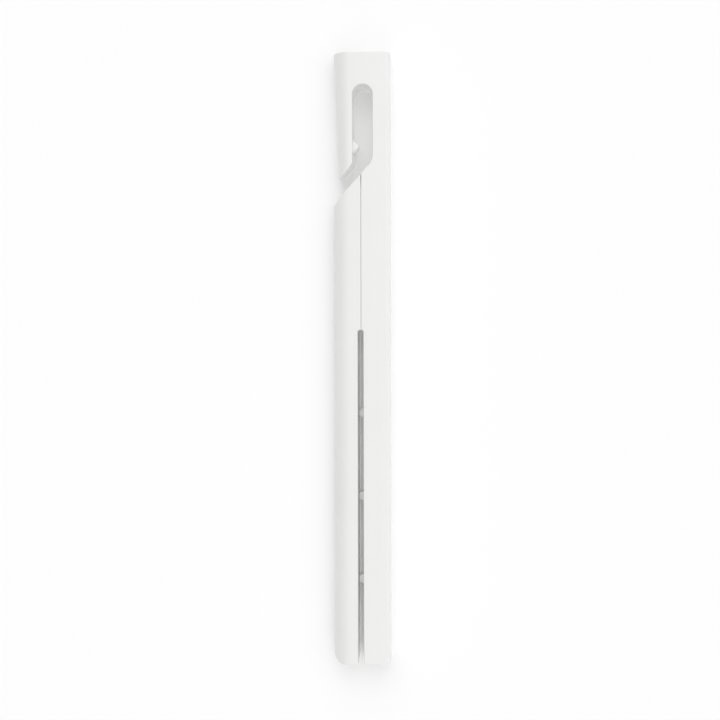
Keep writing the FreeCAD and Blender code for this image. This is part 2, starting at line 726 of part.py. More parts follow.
def fused(name, shapes):
    joined = doc.addObject("Part::MultiFuse", name)
    joined.Shapes = shapes
    return joined


def screw_set(label, spots, seat):
    """One node for a set of equal screws, each a flat round head on a shank."""
    screws = []
    for name, (x, z) in spots.items():
        head = turned(f"{label}_{name}_head", "Sizes.screw_head_radius", seat,
                      f"{seat} + Sizes.screw_head_depth", x, z)
        shank = turned(f"{label}_{name}_shank", "Sizes.screw_radius",
                       f"{seat} + Sizes.screw_head_depth / 2", f"{seat} + Sizes.screw_length", x, z)
        screws.append(fused(f"{label}_{name}", [head, shank]))
    group = doc.addObject("Part::Compound", label)
    group.Label = label
    group.Links = screws
    return group


def ring(label, outer, inner, back, front):
    """A plain ring around the pivot between two depths from the back."""
    x, z = PIVOT[0]
    disc = turned(f"{label}_disc", outer, back, front, x, z)
    bore = turned(f"{label}_bore", inner, f"{back} - Sizes.overcut", f"{front} + Sizes.overcut",
                  x, z)
    cut = doc.addObject("Part::Cut", label)
    cut.Label = label
    cut.Base = disc
    cut.Tool = bore
    return cut


def pivot_pin():
    """Plain steel pin, held at both ends by the jaw."""
    body = new_body("pivot_pin")
    pad_discs(body, PIVOT, "Sizes.pin_radius", "Sizes.pin_recess", "Places.pin_front")
    return body


def closing_spring():
    """Torsion spring around the pin: one leg down in the jaw, one across into the other half."""
    left = "Places.jaw_leg_x"
    helix = doc.addObject("Part::Helix", "spring_path")
    helix.Placement.Rotation = FreeCAD.Rotation(
        Vector(-1, 0, 0), Vector(0, 0, 1), Vector(0, 1, 0), "ZXY")
    bind(helix, Radius="Places.coil_radius", Pitch="Sizes.coil_pitch",
         Height="Sizes.coil_turns * Sizes.coil_pitch", Placement__Base__x="Places.pivot_x",
         Placement__Base__y="-Places.jaw_leg_depth", Placement__Base__z="Places.pivot_z")
    wire = doc.addObject("Part::Circle", "spring_wire")
    bind(wire, Radius="Sizes.wire_radius", Placement__Base__x=left,
         Placement__Base__y="-Places.jaw_leg_depth", Placement__Base__z="Places.pivot_z")
    coil = doc.addObject("Part::Sweep", "spring_coil")
    coil.Sections = [wire]
    coil.Spine = (helix, [])
    coil.Solid = True
    coil.Frenet = True
    jaw_leg = doc.addObject("Part::Cylinder", "spring_jaw_leg")
    bind(jaw_leg, Radius="Sizes.wire_radius", Height="Sizes.jaw_leg_length",
         Placement__Base__x=left, Placement__Base__y="-Places.jaw_leg_depth",
         Placement__Base__z="Places.jaw_leg_low")
    bar_leg = doc.addObject("Part::Cylinder", "spring_bar_leg")
    bar_leg.Placement.Rotation = FreeCAD.Rotation(Vector(0, 1, 0), 90)
    bind(bar_leg, Radius="Sizes.wire_radius", Height="Places.bar_leg_end - Places.pivot_x",
         Placement__Base__x="Places.pivot_x", Placement__Base__y="-Places.bar_leg_depth",
         Placement__Base__z="Places.pivot_z + Places.coil_radius")
    spring = fused("closing_spring", [coil, jaw_leg, bar_leg])
    spring.Label = "closing_spring"
    return spring


def build():
    """All sub-parts, each an object whose label names its file."""
    parts = [
        hooked_shell(),
        hooked_cover(),
        tooth_strip(),
        hinge_plate(),
        jaw_shell(),
        jaw_cover(),
        grip_strip(),
        pivot_pin(),
        closing_spring(),
        ring("pivot_bush", "Places.bush_radius", "Sizes.pin_radius + Sizes.running_gap",
             "Places.ear_back", "Places.ear_front"),
        ring("pivot_washer", "Places.ear_radius - Sizes.washer_inset",
             "Sizes.pin_radius + Sizes.running_gap", "Places.washer_back", "Places.washer_front"),
        stiffener("hook_bar_stiffener", "Places.stiffener_left",
                  "Sizes.bar_stiffener_thickness", "Sizes.bar_stiffener_depth",
                  "Places.arch_z - Sizes.stiffener_hook_drop"),
        stiffener("jaw_stiffener", "Places.jaw_hollow_right - Sizes.jaw_stiffener_thickness",
                  "Sizes.jaw_stiffener_thickness", "Sizes.jaw_stiffener_depth",
                  "Places.plate_low"),
        screw_set("hook_bar_cover_screws", COVER_BOSSES, "0"),
        screw_set("jaw_cover_screws", JAW_BOSSES, "0"),
        screw_set("hinge_plate_screws", PLATE_BOSSES,
                  "Places.ear_back - Sizes.screw_head_depth"),
    ]
    for part in parts:
        bind(part, Placement__Base__x="-Sizes.hook_slot_offset",
             Placement__Base__z="-Places.arch_z")
    doc.recompute()
    return parts


def write_parts(parts):
    """Refuse any failed object, then write one file for each sub-part."""
    for item in doc.Objects:
        if "Invalid" in item.State or "Error" in item.State:
            raise RuntimeError(f"{item.Name} failed: {item.State}")
    for part in parts:
        if part.Shape.isNull() or not part.Shape.isValid():
            raise RuntimeError(f"{part.Label} has no valid shape")
    os.makedirs("parts", exist_ok=True)
    for part in parts:
        part.Shape.exportStep(f"parts/{part.Label}.step")
        print(part.Label, len(part.Shape.Solids), round(part.Shape.Volume, 1))


write_parts(build())
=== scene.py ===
import json
import math

import bmesh
import bpy
import numpy as np
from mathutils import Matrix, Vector
from mathutils.geometry import tessellate_polygon


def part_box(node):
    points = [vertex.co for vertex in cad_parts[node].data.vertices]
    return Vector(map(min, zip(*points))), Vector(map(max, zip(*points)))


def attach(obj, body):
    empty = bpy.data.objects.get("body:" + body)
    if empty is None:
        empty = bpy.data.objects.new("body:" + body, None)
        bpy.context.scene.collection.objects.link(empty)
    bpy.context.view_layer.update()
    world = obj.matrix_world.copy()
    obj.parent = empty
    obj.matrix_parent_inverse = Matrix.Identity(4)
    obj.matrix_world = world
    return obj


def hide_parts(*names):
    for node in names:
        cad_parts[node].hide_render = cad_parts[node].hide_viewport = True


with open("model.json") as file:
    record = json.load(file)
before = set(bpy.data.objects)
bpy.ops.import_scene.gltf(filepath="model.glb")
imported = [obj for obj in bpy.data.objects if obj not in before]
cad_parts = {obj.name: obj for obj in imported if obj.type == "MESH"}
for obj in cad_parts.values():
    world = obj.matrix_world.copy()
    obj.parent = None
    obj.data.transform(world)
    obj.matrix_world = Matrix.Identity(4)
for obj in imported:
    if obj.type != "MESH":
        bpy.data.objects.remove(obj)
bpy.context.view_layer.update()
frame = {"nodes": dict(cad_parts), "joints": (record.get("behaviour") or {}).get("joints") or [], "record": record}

MM = 0.001

# The bar is drawn in millimetres, x from its centre line and z from its lower end, as a maker
# would draw it.  Its ends, sides and back come from the frame, and place() turns a point of the
# drawing into metres.
shell_lo, shell_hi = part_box("hook_bar_shell")
jaw_lo, jaw_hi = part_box("jaw_shell")
tooth_lo, tooth_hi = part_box("tooth_strip")
grip_lo, grip_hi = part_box("grip_strip")
CENTRE = (jaw_lo.x + shell_hi.x) / 2
LOWER_END = shell_lo.z
BACK = shell_hi.y
LENGTH = (shell_hi.z - LOWER_END) / MM
DEPTH = (BACK - shell_lo.y) / MM
HALF_WIDTH = (shell_hi.x - CENTRE) / MM
SEAM_HALF = (CENTRE - jaw_hi.x) / MM
HOOK_RADIUS = frame["record"]["mounts"][0]["dims"]["r_mm"]
HOOK_X = -CENTRE / MM
HOOK_Z = -LOWER_END / MM

# Long edges and crowned front of the bar.
ROUND_EDGE = 8.8
SQUARE_EDGE = 2.2
CROWN = 160.0
CROWN_X = 2.0
# Hook, throat and beak.
LEAN = 48.5
SLOPE = math.tan(math.radians(LEAN))
THROAT = 6.2
BEND = 8.0
HEEL = 3.0
HEEL_OUTSIDE = 1.5
TIP = 1.2
TIP_START = TIP * 1.9
TIP_INSET = 2.8
TOP_INSET = 0.2
# Angle on the hook's arch where the head's side ends and its top begins.
ARCH_CORNER = 48.0
# Slot between the two halves.
SLOT_X = -0.3
SLOT_HALF = 1.4
SLOT_TOP = 165.0
JAW_CORNER = 6.0
# Mouth of the slot: how far it is flared, at the very end and just above the end's lip.
FLARE = 14.0
MOUTH_LIP = 1.2
BAR_MOUTH, BAR_MOUTH_ABOVE = 0.25, 0.23
JAW_MOUTH, JAW_MOUTH_ABOVE = 0.1, 0.09
# Seam between the halves: close all the way, and relieved above the pivot so the jaw can swing.
SEAM_CLOSE = 0.15
SEAM_BESIDE = -0.03
RELIEF_SPARE = 0.02
PIVOT_X = (frame["joints"][0]["pos_m"][0] - CENTRE) / MM
PIVOT_Z = (frame["joints"][0]["pos_m"][2] - LOWER_END) / MM
SWING = math.radians(frame["joints"][0]["range_deg"][1])
# Small roundings left by the mould.
LIP = 0.45
SEAM_LIP = 0.12
BACK_LIP = 0.2
LIP_SHARE = 0.4
# Backs of the halves: a hair in front of their covers, which lie in recesses with a gap around.
BACK_DEPTH = 0.03
RECESS_DEPTH = 2.2
COVER_GAP = 0.1
WALL = 2.0
NECK_DROP = 6.0
HINGE_DISC = 3.6
# Nib in the hook, and teeth across the slot.
NIB_Z = 254.6
NIB_RISE = 3.0
NIB_DEPTH_HALF = 4.5
NIB_ROOT_HALF = 4.6
NIB_TIP_HALF = 0.55
NIB_TIP_ROUND = 0.12
NIB_BURIED = 1.0
TOOTH_ROOT_HALF = 3.0
TOOTH_TIP_HALF = 1.75
TOOTH_TIP_ROUND = 0.18
TOOTH_DEPTH_HALF = 2.0
TOOTH_BURIED = 0.6
TOOTH_COUNT = 3
# Soft strip in the jaw's side of the slot.
GRIP_BURIED = 0.7
GRIP_PROUD = 0.06
GRIP_ROUND = 0.3
# Pegs: rings along the side and over the tip, points round a ring, the power that squares a
# ring, how far the tip closes in height and in depth, and the rings that fill its flat end.
PEG_SIDE_RINGS, PEG_TIP_RINGS = 10, 9
PEG_SIDES = 40
PEG_SQUARE = 6
PEG_TIP_HEIGHT, PEG_TIP_DEPTH = 0.45, 0.35
PEG_END = [0.6, 0.25, 0.0]
# Steps along the edges of the halves, and across them.
MOUTH_STEPS, FLARE_STEPS, SLOT_STEPS, ARCH_STEPS = 8, 12, 90, 8
SEAM_STEPS, JAW_SEAM_STEPS, JAW_TOP_STEPS = 60, 70, 9
SHORT_STEPS, BEND_STEPS, LONG_STEPS, TOP_STEPS, TIP_STEPS = 12, 10, 24, 60, 12
ACROSS_STEPS = 49
LIP_STEPS = 4
CORNER_STEPS, DISC_STEPS = 8, 16
# Points of the drawing, in millimetres, and of a peg, in metres, nearer than this are one.
SAME_POINT = 1e-6
SAME_VERT = 1e-7
# Faces that meet at more than this many degrees keep a sharp edge.
SHELL_SHARP, PEG_SHARP = 40.0, 50.0


def place(x, depth, z):
    """Millimetres on the drawing to metres in the frame; depth counts forward from the back."""
    return np.stack([CENTRE + x * MM, BACK - depth * MM, LOWER_END + z * MM], axis=-1)


def front_depth(x):
    """Depth of the front skin at x: a shallow arc of radius CROWN, which runs tangent into a
    quarter round of ROUND_EDGE at the left side and one of SQUARE_EDGE at the right side."""
    crown_centre = DEPTH - CROWN
    crown = crown_centre + np.sqrt(CROWN**2 - (x - CROWN_X) ** 2)

    def corner(centre_x, radius):
        centre = crown_centre + math.sqrt((CROWN - radius) ** 2 - (centre_x - CROWN_X) ** 2)
        lean = (centre_x - CROWN_X) / (CROWN - radius)
        inside = np.clip(radius**2 - (x - centre_x) ** 2, 0, None)
        return centre + np.sqrt(inside), centre_x + radius * lean

    left_arc, left_join = corner(ROUND_EDGE - HALF_WIDTH, ROUND_EDGE)
    right_arc, right_join = corner(HALF_WIDTH - SQUARE_EDGE, SQUARE_EDGE)
    return np.where(x < left_join, left_arc, np.where(x > right_join, right_arc, crown))


def lip(distance, radius):
    """How far a quarter round of that radius has fallen away at a distance from its edge."""
    short = np.clip(radius - distance, 0, radius)
    return radius - np.sqrt(np.clip(radius**2 - short**2, 0, None))


def straight(start, end, count):
    """Points from start up to, but not including, end."""
    share = np.arange(count)[:, None] / count
    return np.array(start) * (1 - share) + np.array(end) * share


def turn(centre, radius, first, last, count):
    """Points along an arc between two angles in degrees, leaving out the last one."""
    angle = np.radians(first + (last - first) * np.arange(count) / count)
    return np.array(centre) + radius * np.stack([np.cos(angle), np.sin(angle)], axis=-1)


def eased(start, end, count):
    """Points from start up to end, close together at the start, as needed by a rounded lip."""
    share = (np.arange(count) / count)[:, None] ** 2
    return np.array(start) * (1 - share) + np.array(end) * share


def crossing(point, slope_line, offset):
    """Height at x of the throat's lower face, or of its upper face at the throat's width."""
    return slope_line + point * SLOPE + offset * math.hypot(1, SLOPE)


PEAK = (jaw_hi.z - LOWER_END) / MM + SEAM_HALF * SLOPE
HOOK_LEFT = HOOK_X - HOOK_RADIUS
HOOK_RIGHT = HOOK_X + HOOK_RADIUS
TIP_X = TIP_INSET - HALF_WIDTH
TIP_Z = crossing(TIP_X, PEAK, THROAT)
HEAD_TOP_X = TOP_INSET - HALF_WIDTH


def head_edge(z):
    """Left edge of the head at a height: a straight taper from the top down to the beak."""
    share = (z - TIP_Z) / (LENGTH - TIP_Z)
    return TIP_X + (HEAD_TOP_X - TIP_X) * share


def on_head_edge(z):
    """The point of the head's left edge at a height."""
    return head_edge(z), z


def head_depth(x, z):
    """Front depth of the head: the round left edge is squeezed sideways to follow the taper."""
    join = ROUND_EDGE - HALF_WIDTH
    edge = head_edge(np.clip(z, TIP_Z, LENGTH))
    squeezed = join - (join - x) * (join + HALF_WIDTH) / (join - edge)
    return front_depth(np.where(x < join, np.maximum(squeezed, -HALF_WIDTH), x))


def seam_side(z, side):
    """The seam face at each height: half the close gap beside the seam's line, opening above the
    pivot by the height over it times the tangent of the jaw's swing, never past its own shell."""
    relief = np.clip((z - PIVOT_Z) * math.tan(SWING) + RELIEF_SPARE - SEAM_CLOSE, 0, None) / 2
    return np.clip(SEAM_BESIDE + side * (SEAM_CLOSE / 2 + relief), -SEAM_HALF, SEAM_HALF)


def hooked_bar_paths():
    """Inner and outer edge of the hooked bar, point for point, from the lower end up the right
    half, over the hook and down to the tip of the beak, with each inner point's lip radius."""
    slot_right = SLOT_X + SLOT_HALF
    reach = BEND * math.tan(math.radians((90 - LEAN) / 2))
    bend_z = PEAK + HOOK_RIGHT * SLOPE
    run = 1 / math.hypot(1, SLOPE)
    bend_low = (HOOK_RIGHT - reach * run, bend_z - reach * run * SLOPE)
    seam_z = PEAK + SEAM_HALF * SLOPE
    slot_arch = SLOT_TOP - SLOT_HALF
    seam_right = seam_side(PIVOT_Z, 1)
    arch_end = math.degrees(math.acos((seam_right - SLOT_X) / SLOT_HALF))
    seam_low = slot_arch + SLOT_HALF * math.sin(math.radians(arch_end))
    heel_reach = HEEL * math.tan(math.radians((90 - LEAN) / 2))
    heel_z = crossing(HOOK_LEFT, PEAK, THROAT)
    heel_low = (HOOK_LEFT - heel_reach * run, heel_z - heel_reach * run * SLOPE)
    inner, outer, lips = [], [], []

    def stretch(inner_points, outer_points, lip_radius):
        inner.append(inner_points)
        outer.append(outer_points)
        lips.append(np.full(len(inner_points), lip_radius))

    def level(points, lip_radius=LIP):
        """A stretch whose outer points lie level with the inner ones, on the right side."""
        side = np.stack([np.full(len(points), HALF_WIDTH), points[:, 1]], axis=-1)
        stretch(points, side, lip_radius)

    above_lip = (slot_right + BAR_MOUTH_ABOVE, MOUTH_LIP)
    level(eased((slot_right + BAR_MOUTH, 0), above_lip, MOUTH_STEPS))
    level(straight(above_lip, (slot_right, FLARE), FLARE_STEPS))
    level(straight((slot_right, FLARE), (slot_right, slot_arch), SLOT_STEPS))
    level(turn((SLOT_X, slot_arch), SLOT_HALF, 0, arch_end, ARCH_STEPS))
    seam = straight((seam_right, seam_low), (SEAM_HALF, seam_z), SEAM_STEPS)
    seam[:, 0] = seam_side(seam[:, 1], 1)
    level(seam, SEAM_LIP)
    level(straight((SEAM_HALF, seam_z), bend_low, SHORT_STEPS))
    level(turn((HOOK_RIGHT - BEND, bend_z + reach), BEND, LEAN - 90, 0, BEND_STEPS))
    level(straight((HOOK_RIGHT, bend_z + reach), (HOOK_RIGHT, HOOK_Z), LONG_STEPS))
    # round the arch: up the right side, along the top and down the left side
    hook = (HOOK_X, HOOK_Z)
    stretch(turn(hook, HOOK_RADIUS, 0, ARCH_CORNER, LONG_STEPS),
            straight((HALF_WIDTH, HOOK_Z), (HALF_WIDTH, LENGTH), LONG_STEPS), LIP)
    ease = (1 - np.cos(np.pi * np.arange(TOP_STEPS) / TOP_STEPS)) / 2
    top_x = HALF_WIDTH + (HEAD_TOP_X - HALF_WIDTH) * ease
    stretch(turn(hook, HOOK_RADIUS, ARCH_CORNER, 180 - ARCH_CORNER, TOP_STEPS),
            np.stack([top_x, np.full(TOP_STEPS, LENGTH)], axis=-1), LIP)
    stretch(turn(hook, HOOK_RADIUS, 180 - ARCH_CORNER, 180, LONG_STEPS),
            straight((HEAD_TOP_X, LENGTH), on_head_edge(HOOK_Z), LONG_STEPS), LIP)
    # down the left arm of the hook, round the heel and along the beak
    arm_end = heel_z + heel_reach
    stretch(straight((HOOK_LEFT, HOOK_Z), (HOOK_LEFT, arm_end), LONG_STEPS),
            straight(on_head_edge(HOOK_Z), on_head_edge(arm_end), LONG_STEPS), LIP)
    heel_out = on_head_edge(heel_low[1] + HEEL_OUTSIDE)
    stretch(turn((HOOK_LEFT - HEEL, arm_end), HEEL, 0, LEAN - 90, CORNER_STEPS),
            straight(on_head_edge(arm_end), heel_out, CORNER_STEPS), LIP)
    end_in = (TIP_X + TIP_START, crossing(TIP_X + TIP_START, PEAK, THROAT))
    end_out = on_head_edge(TIP_Z + TIP_START)
    stretch(straight(heel_low, end_in, SHORT_STEPS), straight(heel_out, end_out, SHORT_STEPS), LIP)
    tip_in, tip_out = beak_tip(end_in, end_out)
    stretch(tip_in, tip_out, LIP)
    return np.concatenate(inner), np.concatenate(outer), np.concatenate(lips)


def beak_tip(end_in, end_out):
    """The two sides of the beak's rounded tip: halves of one smooth curve, from the ends of the
    straight sides to its middle, drawn as a quadratic curve towards the sharp corner."""
    share = np.linspace(0, 1, 2 * TIP_STEPS)[:, None]
    a, corner, b = np.array(end_in), np.array([TIP_X, TIP_Z]), np.array(end_out)
    curve = a * (1 - share) ** 2 + corner * 2 * share * (1 - share) + b * share**2
    return curve[:TIP_STEPS], curve[::-1][:TIP_STEPS]


def jaw_paths():
    """Right and left edge of the jaw from the lower end up; the crossing lines start level
    and lean over step by step until the last one lies along the slanted top."""
    slot_left = SLOT_X - SLOT_HALF
    slot_arch = SLOT_TOP - SLOT_HALF
    seam_left = seam_side(PIVOT_Z, -1)
    arch_end = math.degrees(math.acos((seam_left - SLOT_X) / SLOT_HALF))
    seam_low = slot_arch + SLOT_HALF * math.sin(math.radians(arch_end))
    seam_z = PEAK - SEAM_HALF * SLOPE
    left_z = PEAK - HALF_WIDTH * SLOPE
    above_lip = (slot_left - JAW_MOUTH_ABOVE, MOUTH_LIP)
    below_top = (-SEAM_HALF, seam_z - MOUTH_LIP)
    right = np.concatenate([
        eased((slot_left - JAW_MOUTH, 0), above_lip, MOUTH_STEPS),
        straight(above_lip, (slot_left, FLARE), FLARE_STEPS),
        straight((slot_left, FLARE), (slot_left, slot_arch), SLOT_STEPS),
        turn((SLOT_X, slot_arch), SLOT_HALF, 180, arch_end, ARCH_STEPS),
        straight((-SEAM_HALF, seam_low), below_top, JAW_SEAM_STEPS),
        eased((-SEAM_HALF, seam_z), below_top, JAW_TOP_STEPS)[::-1],
    ])
    level_count = MOUTH_STEPS + FLARE_STEPS + SLOT_STEPS + ARCH_STEPS
    right[level_count:, 0] = seam_side(right[level_count:, 1], -1)
    left = right.copy()
    left[:, 0] = -HALF_WIDTH
    short = np.clip(JAW_CORNER - left[:, 1], 0, JAW_CORNER)
    left[:, 0] += JAW_CORNER - np.sqrt(JAW_CORNER**2 - short**2)
    past_slot = straight((0, slot_arch), (0, seam_low), ARCH_STEPS)
    left[level_count - ARCH_STEPS:level_count, 1] = past_slot[:, 1]
    rise = (right[level_count:, 1] - seam_low) / (seam_z - seam_low)
    left[level_count:, 1] = seam_low + rise * (left_z - seam_low)
    lips = np.full(len(right), LIP)
    lips[level_count:] = SEAM_LIP
    return right, left, lips


def across(inner, outer):
    """Points between two edges, closer together towards both of them, one row to a pair."""
    share = (1 - np.cos(np.linspace(0, np.pi, ACROSS_STEPS))) / 2
    return inner[:, None] * (1 - share[:, None]) + outer[:, None] * share[:, None]


def edge_distance(points, edge):
    """Distance of each row of points from the straight run of an edge at that row's end."""
    run = np.gradient(edge, axis=0)
    run /= np.maximum(np.linalg.norm(run, axis=1, keepdims=True), SAME_POINT)
    away = points - edge[:, None]
    return np.abs(away[..., 0] * run[:, None, 1] - away[..., 1] * run[:, None, 0])


def riding_piece(name, mesh, sharp, body):
    """A mesh as a piece on a body, smooth except where faces meet at more than sharp degrees."""
    mesh.shade_smooth()
    mesh.set_sharp_from_angle(angle=math.radians(sharp))
    piece = bpy.data.objects.new(name, mesh)
    bpy.context.collection.objects.link(piece)
    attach(piece, body)
    return piece


def grid_faces(rows, columns, first=0, close=False):
    """Quads of a grid stored row by row; close joins its last column to its first."""
    row, column = np.meshgrid(np.arange(rows - 1), np.arange(columns - (not close)), indexing="ij")
    beside = (column + 1) % columns
    corners = np.stack([row * columns + column, row * columns + beside,
                        (row + 1) * columns + beside, (row + 1) * columns + column], axis=-1)
    return (corners.reshape(-1, 4) + first).tolist()


def shell_mesh(name, flat, depth, recess, body):
    """One half of the bar as a closed skin.  flat holds the front's grid in x and z and depth
    its depth.  A wall goes from the grid's rim back to a small lip, a flat back joins the lip
    to the recess that the cover lies in, and the recess has its own wall and floor."""
    rows, columns = depth.shape
    points = [place(flat[..., 0], depth, flat[..., 1]).reshape(-1, 3)]
    faces = grid_faces(rows, columns)
    index = np.arange(rows * columns).reshape(rows, columns)
    rim = np.concatenate([index[0, :-1], index[:-1, -1], index[-1, :0:-1], index[:0:-1, 0]])
    outline = flat.reshape(-1, 2)[rim]
    keep = np.linalg.norm(outline - np.roll(outline, 1, axis=0), axis=1) > SAME_POINT
    rim, outline = rim[keep], outline[keep]
    ahead = np.roll(outline, -1, axis=0) - outline
    ahead /= np.linalg.norm(ahead, axis=1, keepdims=True)
    ahead = ahead + np.roll(ahead, 1, axis=0)
    ahead /= np.linalg.norm(ahead, axis=1, keepdims=True)
    inward = np.stack([-ahead[:, 1], ahead[:, 0]], axis=-1)
    count = len(rim)
    steps = np.radians(np.linspace(0, 90, LIP_STEPS))
    rings = [outline + inward * BACK_LIP * (1 - math.cos(step)) for step in steps]
    depths = [BACK_DEPTH + BACK_LIP * (1 - math.sin(step)) for step in steps]
    first = rows * columns
    for ring, ring_depth in zip(rings, depths):
        points.append(place(ring[:, 0], np.full(count, ring_depth), ring[:, 1]))
    ring_rows = np.concatenate([rim[None],
                                first + np.arange(LIP_STEPS * count).reshape(LIP_STEPS, count)])
    beside = np.roll(ring_rows, -1, axis=1)
    faces += np.stack([ring_rows[:-1], ring_rows[1:], beside[1:], beside[:-1]],
                      axis=-1).reshape(-1, 4).tolist()
    # the flat back, with the recess left out of it
    last_ring = ring_rows[-1]
    recess = np.array(recess)
    holes = len(recess)
    first += LIP_STEPS * count
    points.append(place(recess[:, 0], np.full(holes, BACK_DEPTH), recess[:, 1]))
    points.append(place(recess[:, 0], np.full(holes, RECESS_DEPTH), recess[:, 1]))
    back_edge, brink_line = ([Vector((*spot, 0)) for spot in line] for line in (rings[-1], recess))
    lookup = np.concatenate([last_ring, first + np.arange(holes)])
    flat_back = np.array(tessellate_polygon([back_edge, brink_line]))
    faces += facing(lookup[flat_back], points)
    brink = first + np.arange(holes)
    floor = brink + holes
    faces += np.stack([brink, floor, np.roll(floor, -1), np.roll(brink, -1)], axis=-1).tolist()
    faces += facing(floor[np.array(tessellate_polygon([brink_line]))], points)
    mesh = bpy.data.meshes.new(name)
    mesh.from_pydata(np.concatenate(points).tolist(), [], faces)
    mesh.validate()
    return riding_piece(name, mesh, SHELL_SHARP, body)


def facing(triangles, points):
    """The triangles, turned over together if need be to face backwards, along +Y."""
    spots = np.concatenate(points)[triangles]
    normal = np.cross(spots[:, 1] - spots[:, 0], spots[:, 2] - spots[:, 0])
    if normal[:, 1].sum() < 0:
        triangles = triangles[:, ::-1]
    return triangles.tolist()


def cover_box(node):
    """Left, right, low and high side of the recess that holds a cover, its gap included."""
    lo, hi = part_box(node)
    return ((lo.x - CENTRE) / MM - COVER_GAP, (hi.x - CENTRE) / MM + COVER_GAP,
            (lo.z - LOWER_END) / MM - COVER_GAP, (hi.z - LOWER_END) / MM + COVER_GAP)


def tab_end(side):
    """Where a cover's hinge tab ends, just inside the seam face of its half."""
    return seam_side(PIVOT_Z + HINGE_DISC, side) + side * (BACK_LIP + BACK_DEPTH)


def hooked_bar_recess():
    """Recess of the hooked bar: up the right half, over the hook, and a tab at the hinge."""
    left, right, low, high = cover_box("hook_bar_cover")
    hollow_left, arm = SLOT_X + SLOT_HALF + WALL, HOOK_RIGHT + WALL
    over_hook = HOOK_Z + HOOK_RADIUS + WALL
    neck = PEAK + HOOK_RIGHT * SLOPE
    tab = tab_end(1)
    return [(hollow_left, low), (right, low), (right, high), (left, high), (left, over_hook),
            (arm, over_hook), (arm, neck), (hollow_left, neck - NECK_DROP),
            (hollow_left, PIVOT_Z + HINGE_DISC), (tab, PIVOT_Z + HINGE_DISC),
            (tab, PIVOT_Z - HINGE_DISC), (hollow_left, PIVOT_Z - HINGE_DISC)]


def jaw_recess():
    """Recess of the jaw: a rounded lower corner, a top along the slant, and a tab and a disc at
    the hinge; the disc's arc ends where it meets the slanted line, by the angle whose cosine is
    the line's distance from the pivot over the disc's radius."""
    left, _, low, _ = cover_box("jaw_cover")
    hollow_right = SLOT_X - SLOT_HALF - WALL
    top = PEAK - WALL * math.hypot(1, SLOPE)
    away = (top + PIVOT_X * SLOPE - PIVOT_Z) / math.hypot(1, SLOPE)
    spread = math.degrees(math.acos(away / HINGE_DISC))
    radius = JAW_CORNER - WALL
    corner = turn((left + radius, low + radius), radius, 180, 270, CORNER_STEPS)
    disc = turn((PIVOT_X, PIVOT_Z), HINGE_DISC, 90 + LEAN - spread, 90 + LEAN + spread, DISC_STEPS)
    tab = tab_end(-1)
    return np.concatenate([
        corner,
        [(left + radius, low), (hollow_right, low), (hollow_right, PIVOT_Z - HINGE_DISC),
         (tab, PIVOT_Z - HINGE_DISC), (tab, PIVOT_Z + HINGE_DISC)],
        disc, [(left, top + left * SLOPE)]])


def hooked_bar():
    """The right half with the head: front skin over the strip between the two edge paths, its
    depth the head's front depth less the lips at the inner edge, top and lower end."""
    inner, outer, lips = hooked_bar_paths()
    flat = across(inner, outer)
    width = np.linalg.norm(outer - inner, axis=1)
    lip_in = np.minimum(lips, width * LIP_SHARE)
    fall = lip(edge_distance(flat, inner), lip_in[:, None])
    fall += lip(np.abs(LENGTH - flat[..., 1]), LIP)
    fall += lip(np.abs(flat[..., 1]), LIP)
    depth = head_depth(flat[..., 0], flat[..., 1]) - fall
    return shell_mesh("hooked_bar", flat, depth, hooked_bar_recess(), "hook_bar")


def jaw():
    """The left half: front skin between its two edges, its depth the front depth less the lips
    at the slot side, the slanted top and the lower end."""
    right, left, lips = jaw_paths()
    flat = across(left, right)
    top = np.abs(PEAK + flat[..., 0] * SLOPE - flat[..., 1]) / math.hypot(1, SLOPE)
    fall = lip(edge_distance(flat, right), lips[:, None]) + lip(top, LIP) + lip(flat[..., 1], LIP)
    depth = front_depth(flat[..., 0]) - fall
    return shell_mesh("jaw", flat, depth, jaw_recess(), "jaw")


def peg(root_x, tip_x, middle_z, middle_depth, root_half, tip_half, depth_half, tip_round):
    """A blunt peg along x as a grid of closed rings.  A ring is a rounded oblong, the curve
    |a|^6 + |b|^6 = 1 in height and depth.  Its half height runs straight from root to tip, and
    the last tip_round of its length closes like a quarter of an ellipse."""
    over_tip = np.sin(np.linspace(0, np.pi / 2, PEG_TIP_RINGS))[1:]
    along = np.concatenate([np.linspace(0, 1 - tip_round, PEG_SIDE_RINGS),
                            1 - tip_round + tip_round * over_tip])
    past = np.clip((along - 1 + tip_round) / tip_round, 0, 1)
    closing = np.sqrt(np.clip(1 - past**2, 0, None))
    half = root_half + (tip_half - root_half) * along - tip_half * PEG_TIP_HEIGHT * (1 - closing)
    deep = depth_half - depth_half * PEG_TIP_DEPTH * (1 - closing)
    angle = np.linspace(0, 2 * np.pi, PEG_SIDES + 1)[:-1]
    squared = np.abs(np.cos(angle)) ** PEG_SQUARE + np.abs(np.sin(angle)) ** PEG_SQUARE
    swell = squared ** (-1 / PEG_SQUARE)
    up, forward = swell * np.sin(angle), swell * np.cos(angle)
    shrink = np.concatenate([[0.0], np.ones(len(along)), PEG_END])
    index = np.clip(np.arange(len(shrink)) - 1, 0, len(along) - 1)
    x = root_x + (tip_x - root_x) * along[index]
    heights = middle_z + (half[index] * shrink)[:, None] * up
    depths = middle_depth + (deep[index] * shrink)[:, None] * forward
    rings = place(np.repeat(x[:, None], PEG_SIDES, axis=1), depths, heights)
    return rings.reshape(-1, 3), grid_faces(len(shrink), PEG_SIDES, close=True)


